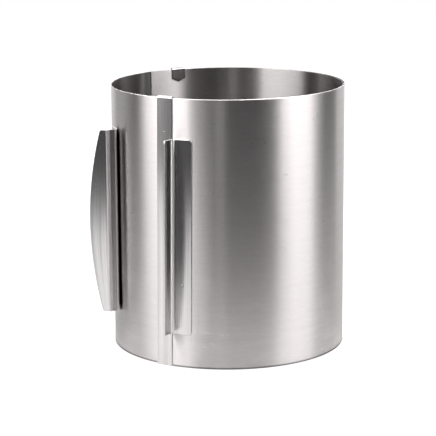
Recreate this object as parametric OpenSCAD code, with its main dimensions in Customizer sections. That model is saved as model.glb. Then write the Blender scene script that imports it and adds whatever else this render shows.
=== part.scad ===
// Adjustable cake ring: a tall band of spring steel wound past one full turn,
// drawn tight or let out by two bent sheet handles. Millimetres and degrees.
// The ring axis is Z, the band stands on z = 0, and directions are measured
// counter-clockwise from +X seen from above.

/* [Band] */

// Outside diameter across the outer turn
ring_d = 178; // [160:1:300]
// Height of the band
ring_h = 200; // [185:1:260]
// Thickness of the band
band_t = 0.5; // [0.4:0.1:0.8]
// Gap left between the two turns
turn_gap = 0.3; // [0.3:0.05:0.6]
// Direction of the inner end of the band
inner_end_az = 133.4; // [125:0.1:150]
// Open width at the inner end, where the band steps out to the next turn
slit_w = 0.8; // [0.5:0.1:2]
// How far the outer turn reaches past that opening
tail_l = 4; // [2:0.5:10]

/* [Handles] */

// Thickness of the handle sheet
sheet_t = 1; // [0.8:0.1:1.4]
// Width of the welded flange, measured round the band
flange_w = 13.3; // [10:0.1:18]
// Corner radius at the free edge of the flange
flange_corner_r = 2; // [1:0.1:4]
// Inside radius of the bend at the flange
root_r = 2; // [1.5:0.1:3]
// Angle turned through at the flange
root_turn = 79; // [70:1:85]
// Flat width of the web between the two bends
web_w = 6.5; // [5:0.1:10]
// Inside radius of the bend at the lip
lip_r = 1; // [0.8:0.1:2]
// Angle turned through at the lip
lip_turn = 40; // [25:1:50]
// Flat width of the lip at its middle
lip_mid_w = 13.4; // [10:0.1:18]
// Flat width of the lip at its two ends
lip_end_w = 4.5; // [3:0.1:7]
// Height of the top of both handles above the table
handle_top = 170.4; // [165:0.1:180]
// Length of the end handle
end_handle_h = 145; // [120:0.5:160]
// Length of the fixed handle
fixed_handle_h = 139.4; // [120:0.1:160]
// Direction where the end handle's flange begins
end_handle_az = 244.3; // [235:0.1:250]
// Direction where the fixed handle's flange begins
fixed_handle_az = 201.2; // [195:0.1:205]

/* [End strip] */

// Width of the strip over the outer end of the band
strip_w = 12.8; // [10:0.1:16]
// Thickness of the strip
strip_t = 1; // [0.8:0.1:1.2]
// How far the outer turn runs under the strip
strip_lap = 12; // [8:0.5:12.5]
// Length of the folded leg inside the ring
hook_leg = 6; // [4:0.5:12]

/* [Rim clip] */

// Direction of the middle of the rim clip
clip_az = 116.5; // [105:0.1:120]
// Width of the rim clip
clip_w = 11.5; // [8:0.1:15]
// Thickness of the rim clip
clip_t = 0.8; // [0.6:0.1:1]
// How far the inside leg reaches down at its corners
clip_leg_in = 7.4; // [5:0.1:12]
// How much further the point of the inside leg reaches
clip_point = 2.4; // [1:0.1:4]
// How far the outside leg reaches down
clip_leg_out = 6; // [4:0.1:10]

/* [Fits] */

// Gap under a piece that is spot-welded to the band
weld_gap = 0.05; // [0.03:0.01:0.1]
// Gap between a folded piece and the turn or rim that slides in it
slide_gap = 0.3; // [0.3:0.05:0.5]
// Inside radius of the folds over the rim
fold_r = 0.4; // [0.3:0.05:0.4]
// Diameter of a spot-weld mark
weld_d = 3; // [2:0.1:4]
// Depth of a spot-weld mark
weld_depth = 0.15; // [0.1:0.05:0.2]
// Number of spot welds on a handle flange
handle_welds = 2; // [1:1:3]
// Distance from a handle's lower end to its first spot weld
weld_first = 37; // [10:1:40]
// Distance from one spot weld to the next
weld_pitch = 51; // [20:1:60]
// Distance from the rim to the spot weld on the strip
strip_weld_drop = 25; // [10:1:40]

/* [Hidden] */

$fn = 96;
full_turn = 360;

// Radii of the faces of the two turns
outer_face_r = ring_d / 2;
outer_bore_r = outer_face_r - band_t;
inner_face_r = outer_bore_r - turn_gap;
inner_bore_r = inner_face_r - band_t;

// Seats of the welded pieces
end_seat_r = outer_face_r + weld_gap;
fixed_seat_r = inner_face_r + weld_gap;
flange_a = arc_deg(flange_w, outer_face_r);

// The strip stops where the root bend of the end handle still clears it
bend_out_r = root_r + sheet_t;
bend_rise = bend_out_r - strip_t - 2 * weld_gap;
bend_reach = sqrt(bend_out_r * bend_out_r - bend_rise * bend_rise);
strip_a = arc_deg(strip_w, outer_face_r);
strip_end_az = end_handle_az - arc_deg(bend_reach + weld_gap, outer_face_r);
strip_start_az = strip_end_az - strip_a;

// The outer turn runs from under the strip round to its tail past the slit
outer_start_az = strip_end_az - arc_deg(strip_lap, outer_face_r);
slit_a = arc_deg(slit_w, inner_face_r);
outer_end_az = inner_end_az + arc_deg(tail_l, outer_face_r);
outer_sweep = full_turn - outer_start_az + outer_end_az;

// Folds over the rim
fold_z = ring_h + slide_gap;
hook_leg_r = inner_bore_r - slide_gap;
clip_in_r = inner_bore_r - weld_gap;
clip_out_r = outer_face_r + slide_gap;
clip_spread = 1.2;
clip_a = arc_deg(clip_w * clip_spread, clip_in_r);
clip_top = fold_z + clip_t;

// Arc that bounds the bowed lip, from its two widths
lip_rise = lip_mid_w - lip_end_w;

function arc_deg(l, r) = l / r * 180 / PI;
function bow_r(h) = (h * h / 4 + lip_rise * lip_rise) / (2 * lip_rise);

// A curved wall about Z from direction a, swept through s
module wall(r, t, h, a, s) {
    rotate([0, 0, a])
        rotate_extrude(angle = s)
            translate([r, 0])
                square([t, h]);
}

// A shallow round spot-weld mark on a face at radius r, cut from outside or inside
module weld_mark(r, a, z) {
    rotate([0, 0, a])
        translate([r - weld_depth, 0, z])
            rotate([0, 90, 0])
                cylinder(d = weld_d, h = 2 * weld_depth);
}

// A quarter of a bent strip of thickness t, seen end on
module quarter_bend(t) {
    intersection() {
        difference() {
            circle(r = fold_r + t);
            circle(r = fold_r);
        }
        square(fold_r + t);
    }
}

// Section of a strip folded over the rim: in_r and out_r are the faces that look at the band
module fold_section(in_r, out_r, t, in_low, out_low) {
    bend_z = fold_z - fold_r;
    translate([in_r - t, in_low])
        square([t, bend_z - in_low]);
    translate([out_r, out_low])
        square([t, bend_z - out_low]);
    translate([in_r + fold_r, fold_z])
        square([out_r - in_r - 2 * fold_r, t]);
    translate([out_r - fold_r, bend_z])
        quarter_bend(t);
    translate([in_r + fold_r, bend_z])
        mirror([1, 0])
            quarter_bend(t);
}

// A flat piece of the handle sheet seen end on: it lies at x < 0 and runs towards -y
module sheet_run(w) {
    translate([-sheet_t, -w])
        square([sheet_t, w]);
}

// A full ring of bent sheet seen end on, of inside radius r
module sheet_ring(r) {
    difference() {
        circle(r = r + sheet_t);
        circle(r = r);
    }
}

// One bend, turning from -y towards +x: the part of a ring between two half-planes
module sheet_bend(r, turn) {
    far = 2 * (r + sheet_t);
    translate([r, 0])
        intersection() {
            sheet_ring(r);
            translate([-far, -far])
                square([2 * far, far]);
            rotate(turn)
                translate([-far, 0])
                    square([2 * far, far]);
        }
}

// Carries what follows to the far end of such a bend
module after_bend(r, turn) {
    translate([r, 0])
        rotate(turn)
            translate([-r, 0])
                children();
}

// The whole bent section: flange round the band, web and lip
module handle_section(seat_r) {
    far = 2 * seat_r;
    intersection() {
        sheet_ring(seat_r);
        polygon([[0, 0], [far, 0], [far, far * tan(flange_a)]]);
    }
    translate([seat_r + sheet_t, 0]) {
        sheet_bend(root_r, root_turn);
        after_bend(root_r, root_turn) {
            sheet_run(web_w);
            translate([0, -web_w]) {
                sheet_bend(lip_r, lip_turn);
                after_bend(lip_r, lip_turn)
                    sheet_run(lip_mid_w);
            }
        }
    }
}

// The round that bows the lip's free edge, as seen from the flange's beginning
module lip_bow(h) {
    edge_r = bow_r(h);
    after_bend(root_r, root_turn)
        translate([0, -web_w])
            after_bend(lip_r, lip_turn)
                translate([-edge_r, edge_r - lip_mid_w, h / 2])
                    rotate([0, 90, 0])
                        cylinder(r = edge_r, h = 2 * edge_r);
}

// The outline that rounds the flange's two free corners, looking at the ring
module flange_outline(reach, h) {
    translate([-flange_w, 0])
        square([flange_w + reach - flange_corner_r, h]);
    translate([-flange_w, flange_corner_r])
        square([flange_w + reach, h - 2 * flange_corner_r]);
    for (z = [flange_corner_r, h - flange_corner_r])
        translate([reach - flange_corner_r, z])
            circle(r = flange_corner_r);
}

// A whole handle on a seat of radius seat_r, its flange beginning at direction 0
module handle(seat_r, h) {
    face_r = seat_r + sheet_t;
    difference() {
        intersection() {
            linear_extrude(height = h)
                handle_section(seat_r);
            rotate([90, 0, 90])
                linear_extrude(height = face_r * 2)
                    flange_outline(face_r * sin(flange_a), h);
            translate([face_r, 0, 0])
                lip_bow(h);
        }
        for (i = [0 : handle_welds - 1])
            weld_mark(face_r, flange_a / 2, weld_first + i * weld_pitch);
    }
}

module inner_turn() {
    color("silver")
        wall(inner_bore_r, band_t, ring_h, inner_end_az + slit_a, full_turn - slit_a);
}

module outer_turn() {
    color("silver")
        wall(outer_bore_r, band_t, ring_h, outer_start_az, outer_sweep);
}

module end_strip() {
    face_r = end_seat_r + strip_t;
    color("gainsboro")
        difference() {
            rotate([0, 0, strip_start_az])
                rotate_extrude(angle = strip_a)
                    fold_section(hook_leg_r, end_seat_r, strip_t, ring_h - hook_leg, 0);
            weld_mark(face_r, strip_start_az + strip_a / 2, ring_h - strip_weld_drop);
        }
}

module end_handle() {
    color("lightgray")
        translate([0, 0, handle_top - end_handle_h])
            rotate([0, 0, end_handle_az])
                handle(end_seat_r, end_handle_h);
}

module fixed_handle() {
    color("lightgray")
        translate([0, 0, handle_top - fixed_handle_h])
            rotate([0, 0, fixed_handle_az])
                mirror([0, 1, 0])
                    handle(fixed_seat_r, fixed_handle_h);
}

module rim_clip() {
    low_z = ring_h - clip_leg_in;
    color("gainsboro")
        rotate([0, 0, clip_az])
            difference() {
                intersection() {
                    rotate([0, 0, -clip_a / 2])
                        rotate_extrude(angle = clip_a)
                            fold_section(clip_in_r, clip_out_r, clip_t, low_z - clip_point, ring_h - clip_leg_out);
                    rotate([90, 0, 90])
                        linear_extrude(height = ring_d)
                            polygon([
                                [-clip_w / 2, low_z],
                                [0, low_z - clip_point],
                                [clip_w / 2, low_z],
                                [clip_w / 2, clip_top],
                                [-clip_w / 2, clip_top]
                            ]);
                }
                weld_mark(clip_in_r - clip_t, 0, low_z + weld_d / 2);
            }
}

inner_turn();
outer_turn();
end_strip();
end_handle();
fixed_handle();
rim_clip();
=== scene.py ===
import math
import bpy
import numpy as np
from mathutils import Matrix, Vector


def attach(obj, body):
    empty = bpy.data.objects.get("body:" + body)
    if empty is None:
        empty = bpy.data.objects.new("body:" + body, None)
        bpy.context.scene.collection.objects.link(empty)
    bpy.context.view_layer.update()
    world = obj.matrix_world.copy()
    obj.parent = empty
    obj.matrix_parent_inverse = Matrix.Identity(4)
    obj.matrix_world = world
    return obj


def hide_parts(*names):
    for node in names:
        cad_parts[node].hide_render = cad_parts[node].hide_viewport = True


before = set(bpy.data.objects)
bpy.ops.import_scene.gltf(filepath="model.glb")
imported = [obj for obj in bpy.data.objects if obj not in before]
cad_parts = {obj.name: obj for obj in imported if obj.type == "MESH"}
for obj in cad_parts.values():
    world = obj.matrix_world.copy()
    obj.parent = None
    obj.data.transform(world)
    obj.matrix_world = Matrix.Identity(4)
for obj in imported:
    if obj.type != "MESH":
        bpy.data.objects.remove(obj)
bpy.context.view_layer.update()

# ---------------------------------------------------------------------------
# Sizes, in millimetres and degrees. Directions are counter-clockwise from +X
# seen from above, and the camera stands at -Y, which is direction 270.
# ---------------------------------------------------------------------------
MM = 0.001
RING_H = 200.0
SHARP_DEG = 35.0
WELD_GAP = 0.05
SLIDE_GAP = 0.3

# How far the edges of each sheet are broken stands beside its thickness.
# The band: the outside faces of the outer and the inner turn, where the inner
# turn ends, the slit between its two ends, and where the outer turn ends
BAND_T, BAND_BREAK = 0.5, 0.22
OUTER_FACE_R = 89.0
INNER_FACE_R = 88.2
INNER_END_AZ = 133.4
SLIT_DEG = 0.52
TAIL_AZ = 135.97

# The end strip and the clip, both folded over the rim. The strip's left edge
# leans by STRIP_LEAN either way, and its right edge leans with the wrapped end.
FOLD_R = 0.4
STRIP_T, STRIP_BREAK = 1.0, 0.12
STRIP_LEFT_AZ, STRIP_RIGHT_AZ = 234.9, 242.85
STRIP_LEAN = 0.9
STRIP_INSIDE_LEG = 5.9
STRIP_WELD_DROP = 25.0
CLIP_T, CLIP_BREAK = 0.8, 0.1
CLIP_W = 11.5
CLIP_AZ = 116.5
CLIP_INSIDE_LEG, CLIP_POINT = 7.4, 2.4
CLIP_OUTSIDE_LEG = 6.0
# The wrapped end leans a little on the band: degrees per millimetre of height
LEAN = 1.5 / RING_H

# The handles
SHEET_T, SHEET_BREAK = 1.0, 0.2
HANDLE_TOP = 170.4
END_HANDLE_AZ, END_HANDLE_H = 244.3, 145.0
FIXED_HANDLE_AZ, FIXED_HANDLE_H = 201.2, 139.4
FLANGE_W = 13.3
ROOT_R, ROOT_TURN = 2.0, 79.0
WEB_W = 6.5
LIP_R, LIP_TURN = 1.0, 40.0
LIP_MID_W, LIP_END_W = 13.4, 4.5
FLANGE_CORNER_R, LIP_CORNER_R = 2.0, 1.4
HANDLE_WELDS = (37.0, 88.0)

# Painted shade: how far the steel's colour and edge shine are darkened where shade falls, from 0 (none) to 1
# (black), on the inside face, the covered face, the foot, the clip, the fixed handle's corner and the step beside
# the slit
INSIDE_PAINTED_SHADE = 0.36
COVERED_PAINTED_SHADE = 0.95
FOOT_PAINTED_SHADE, FOOT_H = 0.6, 1.2
CLIP_LEG_PAINTED_SHADE, CLIP_TOP_PAINTED_SHADE = 0.62, 0.65
CORNER_PAINTED_SHADE, CORNER_AZ, CORNER_HALF = 0.97, 202.7, 1.3
STEP_PAINTED_SHADE, STEP_AZ, STEP_HALF = 0.46, 135.6, 3.2


# ---------------------------------------------------------------------------
# Surfaces
# ---------------------------------------------------------------------------
def spaced(length, count, edge):
    """count + 2 places along a length: 0, edge, then even steps, length - edge, length."""
    inner = np.linspace(edge, length - edge, count)
    return np.concatenate(([0.0], inner, [length]))


def polar(r, az, z):
    """Points at radius r and direction az (degrees) and height z: (r cos az, r sin az, z)."""
    a = np.radians(az)
    return np.stack([r * np.cos(a), r * np.sin(a), z + 0.0 * a], axis=-1)


def two_faces(first, second, shape):
    """Values for a loop of first-face points and, in reverse order, second-face points."""
    return np.concatenate([np.broadcast_to(first, shape), np.broadcast_to(second, shape)[:, ::-1]], axis=1)


def keep_at_points(mesh, name, values):
    """Keeps one number a point on the mesh, as an attribute that the material reads."""
    layer = mesh.attributes.new(name, "FLOAT", "POINT")
    layer.data.foreach_set("value", values.astype(np.float32).ravel())


def sheet_piece(name, middle, normal, thickness, edge, uv, relief=None, dull=None, bent=0.0):
    """A closed piece of bent sheet.

    middle(i, j) is the sheet's middle surface and normal(i, j) its unit normal.
    The two faces are middle + normal * thickness / 2 and middle - normal * thickness / 2.
    The outermost row and column on each side are thinner by twice edge, which
    with their neighbours makes the broken edge of a cut sheet. relief(i, j) is
    added to the first face only. The argument after relief gives the shade
    painted on the first and the second face, each a grid or one number, which
    darkens their colour and edge shine. bent is 1 where the press has dragged its
    marks across a bend, and there the colour is lightened as a painted highlight;
    the cut edges count as bent too.
    """
    rows, cols = middle.shape[:2]
    half = np.full((rows, cols), thickness / 2)
    rim = np.zeros((rows, cols), bool)
    rim[0, :] = rim[-1, :] = rim[:, 0] = rim[:, -1] = True
    half[rim] -= edge
    lift = half if relief is None else half + relief
    front = middle + normal * lift[..., None]
    back = middle - normal * half[..., None]
    loop = np.concatenate([front, back[:, ::-1]], axis=1)
    loop_uv = np.concatenate([uv, uv[:, ::-1]], axis=1)
    n = 2 * cols
    index = np.arange(rows * n).reshape(rows, n)
    right = np.roll(index, -1, axis=1)
    sides = np.stack([index[:-1], right[:-1], right[1:], index[1:]], axis=-1).reshape(-1, 4)
    k = np.arange(cols - 1)
    first, last = index[0], index[-1]
    low = np.stack([first[k], first[n - 1 - k], first[n - 2 - k], first[k + 1]], axis=-1)
    high = np.stack([last[k], last[k + 1], last[n - 2 - k], last[n - 1 - k]], axis=-1)
    faces = np.concatenate([sides, low, high])
    points = loop.reshape(-1, 3) * MM
    a, b, c, d = (points[faces[:, q]] for q in range(4))
    volume = (a * (np.cross(b, c) + np.cross(c, d))).sum()
    if volume < 0:  # the faces point inward
        faces = faces[:, ::-1]
    mesh = bpy.data.meshes.new(name)
    mesh.vertices.add(len(points))
    mesh.vertices.foreach_set("co", points.astype(np.float32).ravel())
    mesh.loops.add(faces.size)
    mesh.loops.foreach_set("vertex_index", faces.astype(np.int32).ravel())
    mesh.polygons.add(len(faces))
    mesh.polygons.foreach_set("loop_start", np.arange(0, faces.size, 4, dtype=np.int32))
    mesh.update(calc_edges=True)
    layer = mesh.uv_layers.new(name="sheet")
    flat = loop_uv.reshape(-1, 2)[faces.ravel()] * MM
    layer.data.foreach_set("uv", flat.astype(np.float32).ravel())
    if dull is not None:
        keep_at_points(mesh, "dull", two_faces(*dull, (rows, cols)))
    # bends and cut edges: marks turned across them, and a painted highlight in the colour
    smooth = np.maximum(bent, rim)
    keep_at_points(mesh, "bent", two_faces(smooth, smooth, (rows, cols)))
    mesh.shade_smooth()
    mesh.set_sharp_from_angle(angle=math.radians(SHARP_DEG))
    mesh.validate()
    piece = bpy.data.objects.new(name, mesh)
    bpy.context.scene.collection.objects.link(piece)
    return piece


def weld_dimple(across, along, size=1.9, depth=0.07):
    """Height of a spot-weld mark, from the distances to its centre.

    rho is the distance in half sizes. A flat-bottomed dimple,
    -depth / (1 + exp(14 (rho - 0.85))), has a soft raised lip round it,
    0.35 depth exp(-(6 (rho - 1.12))^2).
    """
    rho = np.minimum(np.hypot(across, along) / (size / 2), 40.0)  # flat long before 40, where exp is still finite
    dimple = -depth / (1 + np.exp((rho - 0.85) * 14))
    return dimple + 0.35 * depth * np.exp(-((rho - 1.12) * 6) ** 2)


def fine_steps(z):
    """17 close places about height z, so that a weld mark there comes out round."""
    return np.linspace(z - 2.4, z + 2.4, 17)


def band_turn(name, face_r, start_az, end_az, shade, inside):
    """One turn of the band: the strip's rectangular section carried round Z from start_az(z) to end_az(z).

    A point of the middle surface is (r cos az, r sin az, z), with r half a
    thickness inside face_r. shade and inside give the shade painted on the two
    faces, and the outside face also gets a painted dark line along its foot.
    """
    z = np.insert(spaced(RING_H, 40, 0.3), 2, (1.0, 1.5))[None, :]
    length = math.radians(np.mean(end_az(z) - start_az(z))) * face_r
    t = spaced(length, int(length / 0.9), 0.15)[:, None] / length
    az = start_az(z) + (end_az(z) - start_az(z)) * t
    r = face_r - BAND_T / 2
    middle = polar(r, az, z)
    normal = polar(1.0, az, 0.0 * z)
    uv = np.stack([z + 0 * t, np.radians(az) * face_r], axis=-1)
    # painted shade: a thin dark line along the bottom rim, added to the outside face's painted shade
    outside = np.maximum(shade(az, z), FOOT_PAINTED_SHADE * (z < FOOT_H))
    return sheet_piece(name, middle, normal, BAND_T, BAND_BREAK, uv, dull=(outside, inside(az, z)))


def fold_path(in_r, out_r, t, leg_in, leg_out_z, fine=()):
    """Middle line (r, z), outward normal and length of a strip folded over the rim.

    It runs from the foot of its outside leg to the tip of its inside leg: a
    straight leg, a quarter circle, a flat top, a quarter circle and a straight
    leg down to leg_in, which may be an array: one length a row.
    """
    fold_z = RING_H + SLIDE_GAP
    bend_z = fold_z - FOLD_R
    mid_r = FOLD_R + t / 2
    leg_places = leg_out_z + spaced(bend_z - leg_out_z, 24, 0.12)
    up = np.unique(np.concatenate([leg_places, np.asarray(fine, float)]))
    q = np.radians(np.linspace(0, 90, 9))[1:-1]
    top = np.linspace(out_r - FOLD_R, in_r + FOLD_R, 3)
    down = spaced(1.0, 8, 0.02)[1:]
    r = np.concatenate([np.full(up.shape, out_r + t / 2), out_r - FOLD_R + mid_r * np.cos(q), top,
                        in_r + FOLD_R - mid_r * np.sin(q), np.full(down.size + 1, in_r - t / 2)])
    z = np.concatenate([up, bend_z + mid_r * np.sin(q), np.full(3, fold_z + t / 2),
                        bend_z + mid_r * np.cos(q), np.full(down.size + 1, bend_z)])
    nr = np.concatenate([np.ones(up.shape), np.cos(q), np.zeros(3), -np.sin(q), -np.ones(down.size + 1)])
    nz = np.concatenate([np.zeros(up.shape), np.sin(q), np.ones(3), np.cos(q), np.zeros(down.size + 1)])
    leg = np.atleast_1d(np.asarray(leg_in, float))[:, None]
    z = np.repeat(z[None, :], leg.shape[0], axis=0)
    z[:, -down.size:] = bend_z - leg * down
    s = np.concatenate([[0], np.cumsum(np.hypot(np.diff(r), np.diff(z[0])))])
    return r[None, :], z, nr[None, :], nz[None, :], s[None, :]


def end_strip_piece(name, start_az, end_az):
    """The flat strip over the band's outer end: its folded section carried round Z between two edges.

    Its points are (r cos az, r sin az, z), with az from start_az(z) to end_az(z).
    """
    t, seat = STRIP_T, OUTER_FACE_R + WELD_GAP
    weld_z = RING_H - STRIP_WELD_DROP
    in_r = INNER_FACE_R - BAND_T - SLIDE_GAP
    r, z, nr, nz, s = fold_path(in_r, seat, t, STRIP_INSIDE_LEG, 0.0, fine_steps(weld_z))
    width = math.radians(end_az(RING_H / 2) - start_az(RING_H / 2)) * seat
    across = spaced(width, 34, 0.12)[:, None] / width
    az = start_az(z) + (end_az(z) - start_az(z)) * across
    middle = polar(r, az, z)
    normal = polar(nr, az, nz)
    relief = weld_dimple((across - 0.5) * width, z - weld_z) * (nr > 0.99)
    uv = np.stack([s + 0 * across, across * width + 0 * s], axis=-1)
    return sheet_piece(name, middle, normal, t, STRIP_BREAK, uv, relief)


def rim_clip_piece(name, az_mid, width):
    """The small clip: the folded section carried across its width.

    The section at y stands at direction az_mid + asin(y / r). The inside leg
    gets longer by CLIP_POINT (1 - |y| / (width / 2)) towards the middle.
    """
    t = CLIP_T
    y = spaced(width, 30, 0.1)[:, None] - width / 2
    leg = CLIP_INSIDE_LEG - FOLD_R + SLIDE_GAP + CLIP_POINT * (1 - np.abs(y[:, 0]) / (width / 2))
    in_r, out_r = INNER_FACE_R - BAND_T - WELD_GAP, OUTER_FACE_R + SLIDE_GAP
    r, z, nr, nz, s = fold_path(in_r, out_r, t, leg, RING_H - CLIP_OUTSIDE_LEG)
    az = az_mid + np.degrees(np.arcsin(y / r))
    middle = polar(r, az, z)
    normal = polar(nr, az, nz)
    uv = np.stack([s + 0 * y, y + 0 * s], axis=-1)
    # painted shade on the clip: its inside leg, and the bends and flat top of its fold
    on_top = (nr > -0.6) & (nr < 0.9)
    clip_shade = np.where(nr < -0.95, CLIP_LEG_PAINTED_SHADE, CLIP_TOP_PAINTED_SHADE * on_top) + 0 * z
    return sheet_piece(name, middle, normal, t, CLIP_BREAK, uv, dull=(clip_shade, 0.0))


def corner_cut(z, h, r):
    """How much narrower the sheet is at height z because its two corners have radius r."""
    d = np.clip(r - np.minimum(z, h - z), 0, r)
    return r - np.sqrt(r * r - d * d)


def handle_piece(name, seat, az, h, side, lean):
    """A bent sheet handle: a flange arc, a bend, a web, a bend and a lip, carried up Z.

    The flange's free edge and the lip's bowed edge move with height: the lip's
    width is LIP_MID_W less the height of an arc through LIP_END_W at the ends.
    side is +1 where the flange runs counter-clockwise from az, and -1 clockwise.
    """
    t, half = SHEET_T, SHEET_T / 2
    fine = np.concatenate([fine_steps(w) for w in HANDLE_WELDS])
    tip = spaced(3.0, 8, 0.12)  # closer places near the two ends, for the round corners
    places = np.concatenate([np.linspace(3.0, h - 3.0, 90), fine, tip, h - tip])
    z = np.unique(np.round(places, 4))[:, None]
    rise = LIP_MID_W - LIP_END_W
    bow = (h * h / 4 + rise * rise) / (2 * rise)
    flange = FLANGE_W - corner_cut(z, h, FLANGE_CORNER_R)
    sag = bow - np.sqrt(bow * bow - (z - h / 2) ** 2)
    lip = LIP_MID_W - sag - corner_cut(z, h, LIP_CORNER_R)
    # flange, from its free edge in to the root
    f = spaced(1.0, 34, 0.02)[None, :-1]
    theta = flange * (1 - f) / OUTER_FACE_R
    x1, y1 = (seat + half) * np.cos(theta), (seat + half) * np.sin(theta)
    n1, m1 = np.cos(theta), np.sin(theta)
    # bend at the root, about (seat + t + ROOT_R, 0)
    q = math.pi + np.radians(np.linspace(0, ROOT_TURN, 12))[None, :] + 0 * z
    cx = seat + t + ROOT_R
    x2, y2 = cx + (ROOT_R + half) * np.cos(q), (ROOT_R + half) * np.sin(q)
    n2, m2 = -np.cos(q), -np.sin(q)
    # web, straight on from the bend
    e = math.radians(ROOT_TURN)
    run = np.linspace(0, WEB_W, 7)[None, 1:-1] + 0 * z
    x3, y3 = x2[:, -1:] + run * math.sin(e), y2[:, -1:] - run * math.cos(e)
    n3, m3 = math.cos(e) + 0 * run, math.sin(e) + 0 * run
    # bend at the lip
    bx, by = x2[:, -1:] + WEB_W * math.sin(e), y2[:, -1:] - WEB_W * math.cos(e)
    ox, oy = bx + (LIP_R + half) * math.cos(e), by + (LIP_R + half) * math.sin(e)
    q = math.pi + e + np.radians(np.linspace(0, LIP_TURN, 9))[None, :] + 0 * z
    x4, y4 = ox + (LIP_R + half) * np.cos(q), oy + (LIP_R + half) * np.sin(q)
    n4, m4 = -np.cos(q), -np.sin(q)
    # lip
    g = e + math.radians(LIP_TURN)
    run = lip * spaced(1.0, 24, 0.009)[None, 1:]
    x5, y5 = x4[:, -1:] + run * math.sin(g), y4[:, -1:] - run * math.cos(g)
    n5, m5 = math.cos(g) + 0 * run, math.sin(g) + 0 * run
    x = np.concatenate([x1, x2, x3, x4, x5], axis=1)
    y = np.concatenate([y1, y2, y3, y4, y5], axis=1)
    n = np.concatenate([n1, n2, n3, n4, n5], axis=1)
    m = np.concatenate([m1, m2, m3, m4, m5], axis=1)
    base = HANDLE_TOP - h
    turn = np.radians(az + lean * (z + base - RING_H / 2))
    c, s = np.cos(turn), np.sin(turn)
    middle = np.stack([x * c - side * y * s, x * s + side * y * c, z + base + 0 * x], axis=-1)
    normal = np.stack([n * c - side * m * s, n * s + side * m * c, 0 * n], axis=-1)
    mid = len(x) // 2
    along = np.concatenate([[0], np.cumsum(np.hypot(np.diff(x[mid]), np.diff(y[mid])))])[None, :]
    uv = np.stack([along + 0 * z, z + 0 * along], axis=-1)
    marks = sum(weld_dimple(along - FLANGE_W / 2, z - w) for w in HANDLE_WELDS)
    relief = marks * (along < FLANGE_W)
    # the press marks lie on both bends, and on the web's last place before the lip; there the colour is lightened
    # as a painted highlight
    widths = [part.shape[1] for part in (x1, x2, x3, x4, x5)]
    bent = np.repeat([0.0, 1.0, 0.0, 1.0, 0.0], widths)[None, :]
    bent[:, sum(widths[:3]) - 1] = 1.0
    return sheet_piece(name, middle, normal, t, SHEET_BREAK, uv, relief, bent=bent)


# ---------------------------------------------------------------------------
# Materials
# ---------------------------------------------------------------------------
def linear(hex_colour):
    """sRGB hex to linear RGBA."""
    c = np.array([int(hex_colour[i:i + 2], 16) for i in (1, 3, 5)]) / 255.0
    c = np.where(c <= 0.04045, c / 12.92, ((c + 0.055) / 1.055) ** 2.4)
    return (*[float(v) for v in c], 1.0)


def add(tree, kind, settings=None, inputs=None):
    """Adds a node: settings are its own properties, inputs are socket values or (node, output) links."""
    node = tree.nodes.new(kind)
    for key, value in (settings or {}).items():
        setattr(node, key, value)
    for key, value in (inputs or {}).items():
        if isinstance(value, tuple) and len(value) == 2 and isinstance(value[0], bpy.types.Node):
            tree.links.new(value[0].outputs[value[1]], node.inputs[key])
        else:
            node.inputs[key].default_value = value
    return node


def add_blend(tree, factor, first, second):
    """Adds a colour mix: first at factor 0, second at factor 1, each a colour or a (node, output) link."""
    return add(tree, "ShaderNodeMix", {"data_type": "RGBA"}, {0: factor, 6: first, 7: second})


def add_streaks(tree, uv, grain, detail, roughness, shift):
    """Adds a noise over the sheet's own (u, v), drawn out by grain."""
    place = add(tree, "ShaderNodeMapping", inputs={"Vector": (uv, "UV"), "Scale": grain, "Location": shift})
    return add(tree, "ShaderNodeTexNoise", {"noise_dimensions": "2D"},
               {"Vector": (place, "Vector"), "Scale": 1.0, "Detail": detail, "Roughness": roughness})


def add_range(tree, value, low, high, start=0.0, end=1.0):
    """Adds a map range: low where the value is start, and high where it is end."""
    return add(tree, "ShaderNodeMapRange",
               inputs={"Value": value, "From Min": start, "From Max": end, "To Min": low, "To Max": high})


def add_kept(tree, name):
    """Adds the reader of a number that is kept at the mesh's points."""
    return add(tree, "ShaderNodeAttribute", {"attribute_type": "GEOMETRY", "attribute_name": name})


def fresh(name):
    """A new material with an empty node tree."""
    material = bpy.data.materials.new(name)
    material.use_nodes = True
    material.node_tree.nodes.clear()
    return material, material.node_tree


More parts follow.
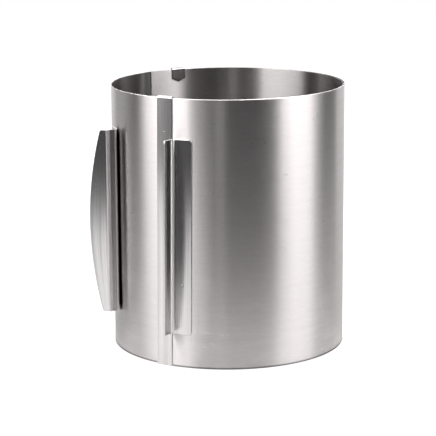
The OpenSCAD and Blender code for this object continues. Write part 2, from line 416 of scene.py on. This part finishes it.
def brushed_stainless(name, colour, dark, roughness, anisotropy, turn, grain, depth):
    """Brushed stainless steel.

    The belt leaves fine parallel scratches along one direction of the sheet, so
    light smears across them and stays sharp along them. grain is the mapping of
    the sheet's own (u, v), in metres, to scratches: small along them and large
    across. The real scratches are under 0.1 mm apart, too fine to show, so the
    visible streaks are drawn 0.5 to 2 mm apart. Where the mesh is bent, the
    press has dragged its marks across the bend, and the colour is lightened
    there as a painted highlight. Where shade is painted on, the colour and the
    edge shine are darkened towards black.
    """
    material, tree = fresh(name)
    uv = add(tree, "ShaderNodeUVMap", {"uv_map": "sheet"})
    fine = add_streaks(tree, uv, grain, 4.0, 0.65, (0.0, 0.0, 0.0))
    broad = add_streaks(tree, uv, tuple(v * 0.16 for v in grain), 2.0, 0.5, (3.1, 7.7, 0.0))
    streaks = add(tree, "ShaderNodeMix", {"data_type": "FLOAT"},
                  {"Factor": 0.35, "A": (fine, "Fac"), "B": (broad, "Fac")})
    painted_shade_fac = (add_kept(tree, "dull"), "Fac")
    bent = (add_kept(tree, "bent"), "Fac")
    # colour
    tint = add_range(tree, (streaks, "Result"), 0.0, 1.0, 0.35, 0.65)
    base = add_blend(tree, (tint, "Result"), linear(dark), linear(colour))
    # painted highlight: on bends and cut edges the colour is lightened towards near white
    bend_highlight = add_blend(tree, bent, (base, 2), linear("#f4f1f1"))
    # painted shade: where it is set, the colour and the edge shine go towards black
    shade_darkened = add_blend(tree, painted_shade_fac, (bend_highlight, 2), linear("#0a0909"))
    edge = add_blend(tree, painted_shade_fac, (1, 1, 1, 1), (0, 0, 0, 1))
    # brushing
    flat = add_range(tree, (streaks, "Result"), roughness + 0.03, roughness - 0.03, 0.3, 0.7)
    rough = add(tree, "ShaderNodeMix", {"data_type": "FLOAT"}, {"Factor": bent, "A": (flat, "Result"), "B": 0.4})
    smear = add_range(tree, bent, anisotropy, 1.0)
    swing = add_range(tree, bent, turn, turn + 0.25)
    bump = add(tree, "ShaderNodeBump", inputs={"Strength": 0.25, "Distance": depth, "Height": (fine, "Fac")})
    tangent = add(tree, "ShaderNodeTangent", {"direction_type": "UV_MAP", "uv_map": "sheet"})
    steel = add(tree, "ShaderNodeBsdfPrincipled", inputs={
        "Base Color": (shade_darkened, 2), "Metallic": 1.0, "Specular Tint": (edge, 2), "Roughness": (rough, "Result"),
        "Anisotropic": (smear, "Result"), "Anisotropic Rotation": (swing, "Result"),
        "Normal": (bump, "Normal"), "Tangent": (tangent, "Tangent")})
    add(tree, "ShaderNodeOutputMaterial", inputs={"Surface": (steel, "BSDF")})
    return material


# Stainless spring strip, brushed along its length, so round the ring: its
# reflections smear up and down and keep the room's upright bands.
band_steel = brushed_stainless("brushed_stainless_band", "#c6c2c2", "#beb9b9", 0.30, 1.0, 0.0,
                               (1500.0, 130.0, 1.0), 0.000006)
# The narrow strip and the clip are cut from sheet that is brushed along its length.
strip_steel = brushed_stainless("brushed_stainless_strip", "#d6d3d3", "#bdbaba", 0.24, 0.7, 0.25,
                                (9.0, 1500.0, 1.0), 0.000006)
# The handles are bent from thicker sheet with a coarser satin brush along them.
handle_steel = brushed_stainless("satin_stainless_handle", "#d2d0d0", "#b3b1b1", 0.22, 0.6, 0.0,
                                 (1500.0, 9.0, 1.0), 0.000006)


# ---------------------------------------------------------------------------
# Pieces
# ---------------------------------------------------------------------------
def strip_left(z):
    """Direction of the strip's left edge, and of the outer turn's end beneath it, at height z."""
    return STRIP_LEFT_AZ + STRIP_LEAN * (2 * z / RING_H - 1)


def strip_right(z):
    """Direction of the strip's right edge at height z."""
    return STRIP_RIGHT_AZ + LEAN * (z - RING_H / 2)


def outer_start(z):
    """Where the outer turn starts: just under the strip's left edge, one whole turn back."""
    return strip_left(z) - 360.0 + 0.25


def steady(az):
    """An upright end: the same direction at each height."""
    return lambda z: az + 0.0 * z


def handle_shadow(az, z):
    """Painted shade in the corner along the fixed handle, from its root to 3 mm beside it, over the handle's
    height.

    CORNER_PAINTED_SHADE exp(-((az - CORNER_AZ) / CORNER_HALF)^4), with soft ends at heights 32 and 169.5.
    """
    across = np.exp(-(((az - CORNER_AZ) / CORNER_HALF) ** 4))
    return CORNER_PAINTED_SHADE * across / (1 + np.exp((32.0 - z) * 3)) / (1 + np.exp((z - 169.5) * 3))


def unshaded(az, z):
    """No painted shade at all."""
    return 0.0 * az * z


def step_shadow(az, z):
    """The inside face darkened as painted shade, with darker painted shade in the step beside the slit, about 8
    mm wide.

    INSIDE_PAINTED_SHADE + STEP_PAINTED_SHADE exp(-((az - STEP_AZ) / STEP_HALF)^4)
    """
    return INSIDE_PAINTED_SHADE + STEP_PAINTED_SHADE * np.exp(-(((az - STEP_AZ) / STEP_HALF) ** 4)) + 0 * z


def covered(az, z):
    """The face that lies on the inner turn, which only the slit shows, darkened nearly to black as painted shade.
    """
    return COVERED_PAINTED_SHADE + 0 * az * z


inner_band = band_turn("inner_band", INNER_FACE_R, steady(INNER_END_AZ + SLIT_DEG), steady(INNER_END_AZ + 360.0),
                       handle_shadow, step_shadow)
outer_band = band_turn("outer_band", OUTER_FACE_R, outer_start, steady(TAIL_AZ), unshaded, covered)
seam_strip = end_strip_piece("seam_strip", strip_left, strip_right)
moving_grip = handle_piece("moving_grip", OUTER_FACE_R + WELD_GAP, END_HANDLE_AZ, END_HANDLE_H, 1, LEAN)
fixed_grip = handle_piece("fixed_grip", INNER_FACE_R + WELD_GAP, FIXED_HANDLE_AZ, FIXED_HANDLE_H, -1, 0.0)
fold_clip = rim_clip_piece("fold_clip", CLIP_AZ, CLIP_W)

for piece, node, body, material, slot in [
    (inner_band, "inner_turn", "inner_ring", band_steel, "band_steel"),
    (outer_band, "outer_turn", "outer_wrap", band_steel, "band_steel"),
    (seam_strip, "end_strip", "outer_wrap", strip_steel, "strip_steel"),
    (moving_grip, "end_handle", "outer_wrap", handle_steel, "handle_steel"),
    (fixed_grip, "fixed_handle", "inner_ring", handle_steel, "handle_steel"),
    (fold_clip, "rim_clip", "inner_ring", strip_steel, "strip_steel"),
]:
    piece.data.materials.append(material)
    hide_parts(node)
    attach(piece, body)


# ---------------------------------------------------------------------------
# Studio: a pale floor, a tent of upright panels that only reflections see, and soft light
# ---------------------------------------------------------------------------
TENT_R, TENT_H = 1100.0, 2350.0
PANEL_LIGHT = 7.0
PANEL_FOOT, PANEL_FULL = 290.0, 460.0
PANEL_BLUR, ROOM_BLUR, TABLE_BLUR = 0.9, 2.5, 6.0
FLOOR_Z = -0.3
# (direction where a panel ends, brightness), going counter-clockwise from 0: the lit panels
# hang above the table's edge, and below them the room shows its darker side
PANELS = [
    (6, 0.95), (14, 0.4), (38, 0.02), (72, 0.08), (112, 0.5), (146, 0.06), (158, 0.2),
    (179, 0.02), (183, 0.5), (200, 1.1), (233, 1.05), (239, 0.12), (259, 0.03),
    (268, 0.16), (318, 0.01), (323, 0.3), (336, 1.1), (352, 0.85), (360, 0.95),
]
ROOM = [
    (14, 0.14), (38, 0.12), (130, 0.88), (150, 0.45), (166, 0.24), (178, 0.05),
    (216, 0.6), (262, 0.12), (332, 0.02), (357, 1.6), (360, 0.1),
]
# (direction, how far the table looks bright in the steel, how bright)
TABLE = [
    (22, 640.0, 0.68), (38, 820.0, 0.62), (152, 1500.0, 0.6), (172, 780.0, 0.52), (188, 780.0, 0.65),
    (205, 860.0, 1.0), (217, 840.0, 1.15), (250, 600.0, 1.2), (328, 255.0, 0.9), (360, 700.0, 0.9),
]
WHITE = (1, 1, 1, 1)


def round_the_tent(steps, az, blur):
    """Brightness at a direction, from (end, level) steps whose edges a bell curve softens, blur degrees wide."""
    fine = np.arange(0.0, 360.0, 0.5)
    ends, levels = (np.array(column) for column in zip(*steps))
    levels = levels[np.searchsorted(ends, fine, side="right").clip(0, len(steps) - 1)]
    k = np.exp(-0.5 * (np.arange(-40, 41) * 0.5 / blur) ** 2)
    soft = np.convolve(np.concatenate([levels[-60:], levels, levels[:60]]), k / k.sum(), "same")[60:-60]
    return np.interp(np.mod(az, 360.0), np.append(fine, 360.0), np.append(soft, soft[0]))


def ramp(x, low, high):
    """0 below low, 1 above high, and a smooth step between."""
    t = np.clip((x - low) / (high - low), 0, 1)
    return t * t * (3 - 2 * t)


def stage_grid(name, points, material, glow):
    """A stage surface from a grid of points, with its brightness at each point kept as an attribute."""
    rows, cols = points.shape[:2]
    index = np.arange(rows * cols).reshape(rows, cols)
    faces = np.stack([index[:-1, :-1], index[:-1, 1:], index[1:, 1:], index[1:, :-1]], axis=-1).reshape(-1, 4)
    mesh = bpy.data.meshes.new(name)
    mesh.from_pydata((points.reshape(-1, 3) * MM).tolist(), [], faces.tolist())
    keep_at_points(mesh, "glow", np.broadcast_to(glow, (rows, cols)))
    mesh.materials.append(material)
    obj = bpy.data.objects.new(name, mesh)
    bpy.context.scene.collection.objects.link(obj)
    return obj


tent_cloth, tree = fresh("tent_panels")
shade = add_kept(tree, "glow")
panel = add(tree, "ShaderNodeEmission", inputs={"Color": WHITE, "Strength": (shade, "Fac")})
add(tree, "ShaderNodeOutputMaterial", inputs={"Surface": (panel, "Emission")})
az = np.arange(0.0, 360.5, 1.0)[:, None]
height = np.linspace(0.0, TENT_H, 61)[None, :]
lit = ramp(height, PANEL_FOOT, PANEL_FULL)
glow = PANEL_LIGHT * round_the_tent(PANELS, az, PANEL_BLUR) * lit
glow = glow + round_the_tent(ROOM, az, ROOM_BLUR) * (1 - lit)
tent = stage_grid("tent", polar(TENT_R, az + 0 * height, height + 0 * az), tent_cloth, glow)
tent.visible_camera = False
tent.visible_diffuse = False
tent.visible_shadow = False

# White laminate table. The camera sees it white with the object's soft shadow. The steel
# sees it pale near the object and falling off to the room beyond the lamp's reach.
floor_white, tree = fresh("white_floor")
path = add(tree, "ShaderNodeLightPath")
pale = add_kept(tree, "glow")
matt = add(tree, "ShaderNodeBsdfDiffuse", inputs={"Color": (0.8, 0.8, 0.8, 1)})
lift = add(tree, "ShaderNodeEmission", inputs={"Color": WHITE, "Strength": 0.55})
shown = add(tree, "ShaderNodeAddShader", inputs={0: (matt, "BSDF"), 1: (lift, "Emission")})
far = add(tree, "ShaderNodeEmission", inputs={"Color": WHITE, "Strength": 0.03})
lamplit = add(tree, "ShaderNodeEmission", inputs={"Color": WHITE, "Strength": 0.5})
near = add(tree, "ShaderNodeAddShader", inputs={0: (matt, "BSDF"), 1: (lamplit, "Emission")})
mirrored = add(tree, "ShaderNodeMixShader",
               inputs={"Fac": (pale, "Fac"), 1: (far, "Emission"), 2: (near, "Shader")})
in_steel = add(tree, "ShaderNodeMixShader",
               inputs={"Fac": (path, "Is Glossy Ray"), 1: (matt, "BSDF"), 2: (mirrored, "Shader")})
mixed = add(tree, "ShaderNodeMixShader",
            inputs={"Fac": (path, "Is Camera Ray"), 1: (in_steel, "Shader"), 2: (shown, "Shader")})
add(tree, "ShaderNodeOutputMaterial", inputs={"Surface": (mixed, "Shader")})
ring = np.concatenate([np.linspace(0.0, 1100.0, 56), [2000.0, 8000.0]])[:, None]
az = np.arange(0.0, 361.0, 3.0)[None, :]
reach = round_the_tent([(end, far) for end, far, level in TABLE], az, TABLE_BLUR)
level = round_the_tent([(end, level) for end, far, level in TABLE], az, TABLE_BLUR)
# inside the ring the table lies in the wall's shadow, so it is a quarter as bright there
glow = level * (1 - ramp(ring, reach * 0.7, reach * 1.3)) * (0.25 + 0.75 * ramp(ring, 60.0, 100.0))
floor = stage_grid("floor", polar(ring, az + 0 * ring, FLOOR_Z + 0 * ring), floor_white, glow)

world = bpy.data.worlds.new("studio")
bpy.context.scene.world = world
world.use_nodes = True
tree = world.node_tree
tree.nodes.clear()
path = add(tree, "ShaderNodeLightPath")
seen = add(tree, "ShaderNodeMath", {"operation": "MAXIMUM"},
           {0: (path, "Is Camera Ray"), 1: (path, "Is Transmission Ray")})
# the steel sees the tent's bright ceiling, and matt things get a plain fill
ceiling = add_range(tree, (path, "Is Glossy Ray"), 0.5, 2.0)
soft = add(tree, "ShaderNodeBackground", inputs={"Color": WHITE, "Strength": (ceiling, "Result")})
white = add(tree, "ShaderNodeBackground", inputs={"Color": WHITE, "Strength": 1.0})
mixed = add(tree, "ShaderNodeMixShader",
            inputs={"Fac": (seen, "Value"), 1: (soft, "Background"), 2: (white, "Background")})
add(tree, "ShaderNodeOutputWorld", inputs={"Surface": (mixed, "Shader")})


def soft_lamp(name, place, aim, size, power):
    """A square soft lamp at a place, aimed at a point, both in metres."""
    data = bpy.data.lights.new(name, "AREA")
    data.shape, data.size, data.energy = "SQUARE", size, power
    lamp = bpy.data.objects.new(name, data)
    bpy.context.scene.collection.objects.link(lamp)
    way = (Vector(aim) - Vector(place)).normalized()
    lamp.matrix_world = Matrix.Translation(place) @ way.to_track_quat("-Z", "Y").to_matrix().to_4x4()
    lamp.visible_camera = False
    lamp.visible_glossy = False
    return lamp


soft_lamp("overhead", (0.1, -0.3, 1.9), (0.0, 0.0, 0.1), 1.4, 22.0)

# ---------------------------------------------------------------------------
# Camera: fitted to the photograph's rims and sides
# ---------------------------------------------------------------------------
CAMERA_PLACE = (0.0, -1.3594, 0.3919)
FOCAL_PIXELS, PHOTO_PIXELS, SENSOR_MM = 1802.2, 436.0, 36.0
YAW, PITCH, ROLL = (math.radians(v) for v in (-0.320, 12.333, -0.341))
ahead = Vector((math.sin(YAW) * math.cos(PITCH), math.cos(YAW) * math.cos(PITCH), -math.sin(PITCH)))
across = ahead.cross(Vector((0, 0, 1))).normalized()
up = across.cross(ahead)
right = across * math.cos(ROLL) + up * math.sin(ROLL)
top = up * math.cos(ROLL) - across * math.sin(ROLL)
camera_data = bpy.data.cameras.new("camera")
camera_data.sensor_width = SENSOR_MM
camera_data.lens = FOCAL_PIXELS / PHOTO_PIXELS * SENSOR_MM
camera_data.clip_end = 50.0
camera = bpy.data.objects.new("camera", camera_data)
bpy.context.scene.collection.objects.link(camera)
turn = Matrix((right, top, -ahead)).transposed().to_4x4()
camera.matrix_world = Matrix.Translation(CAMERA_PLACE) @ turn
bpy.context.scene.camera = camera
bpy.context.scene.view_settings.view_transform = "Standard"
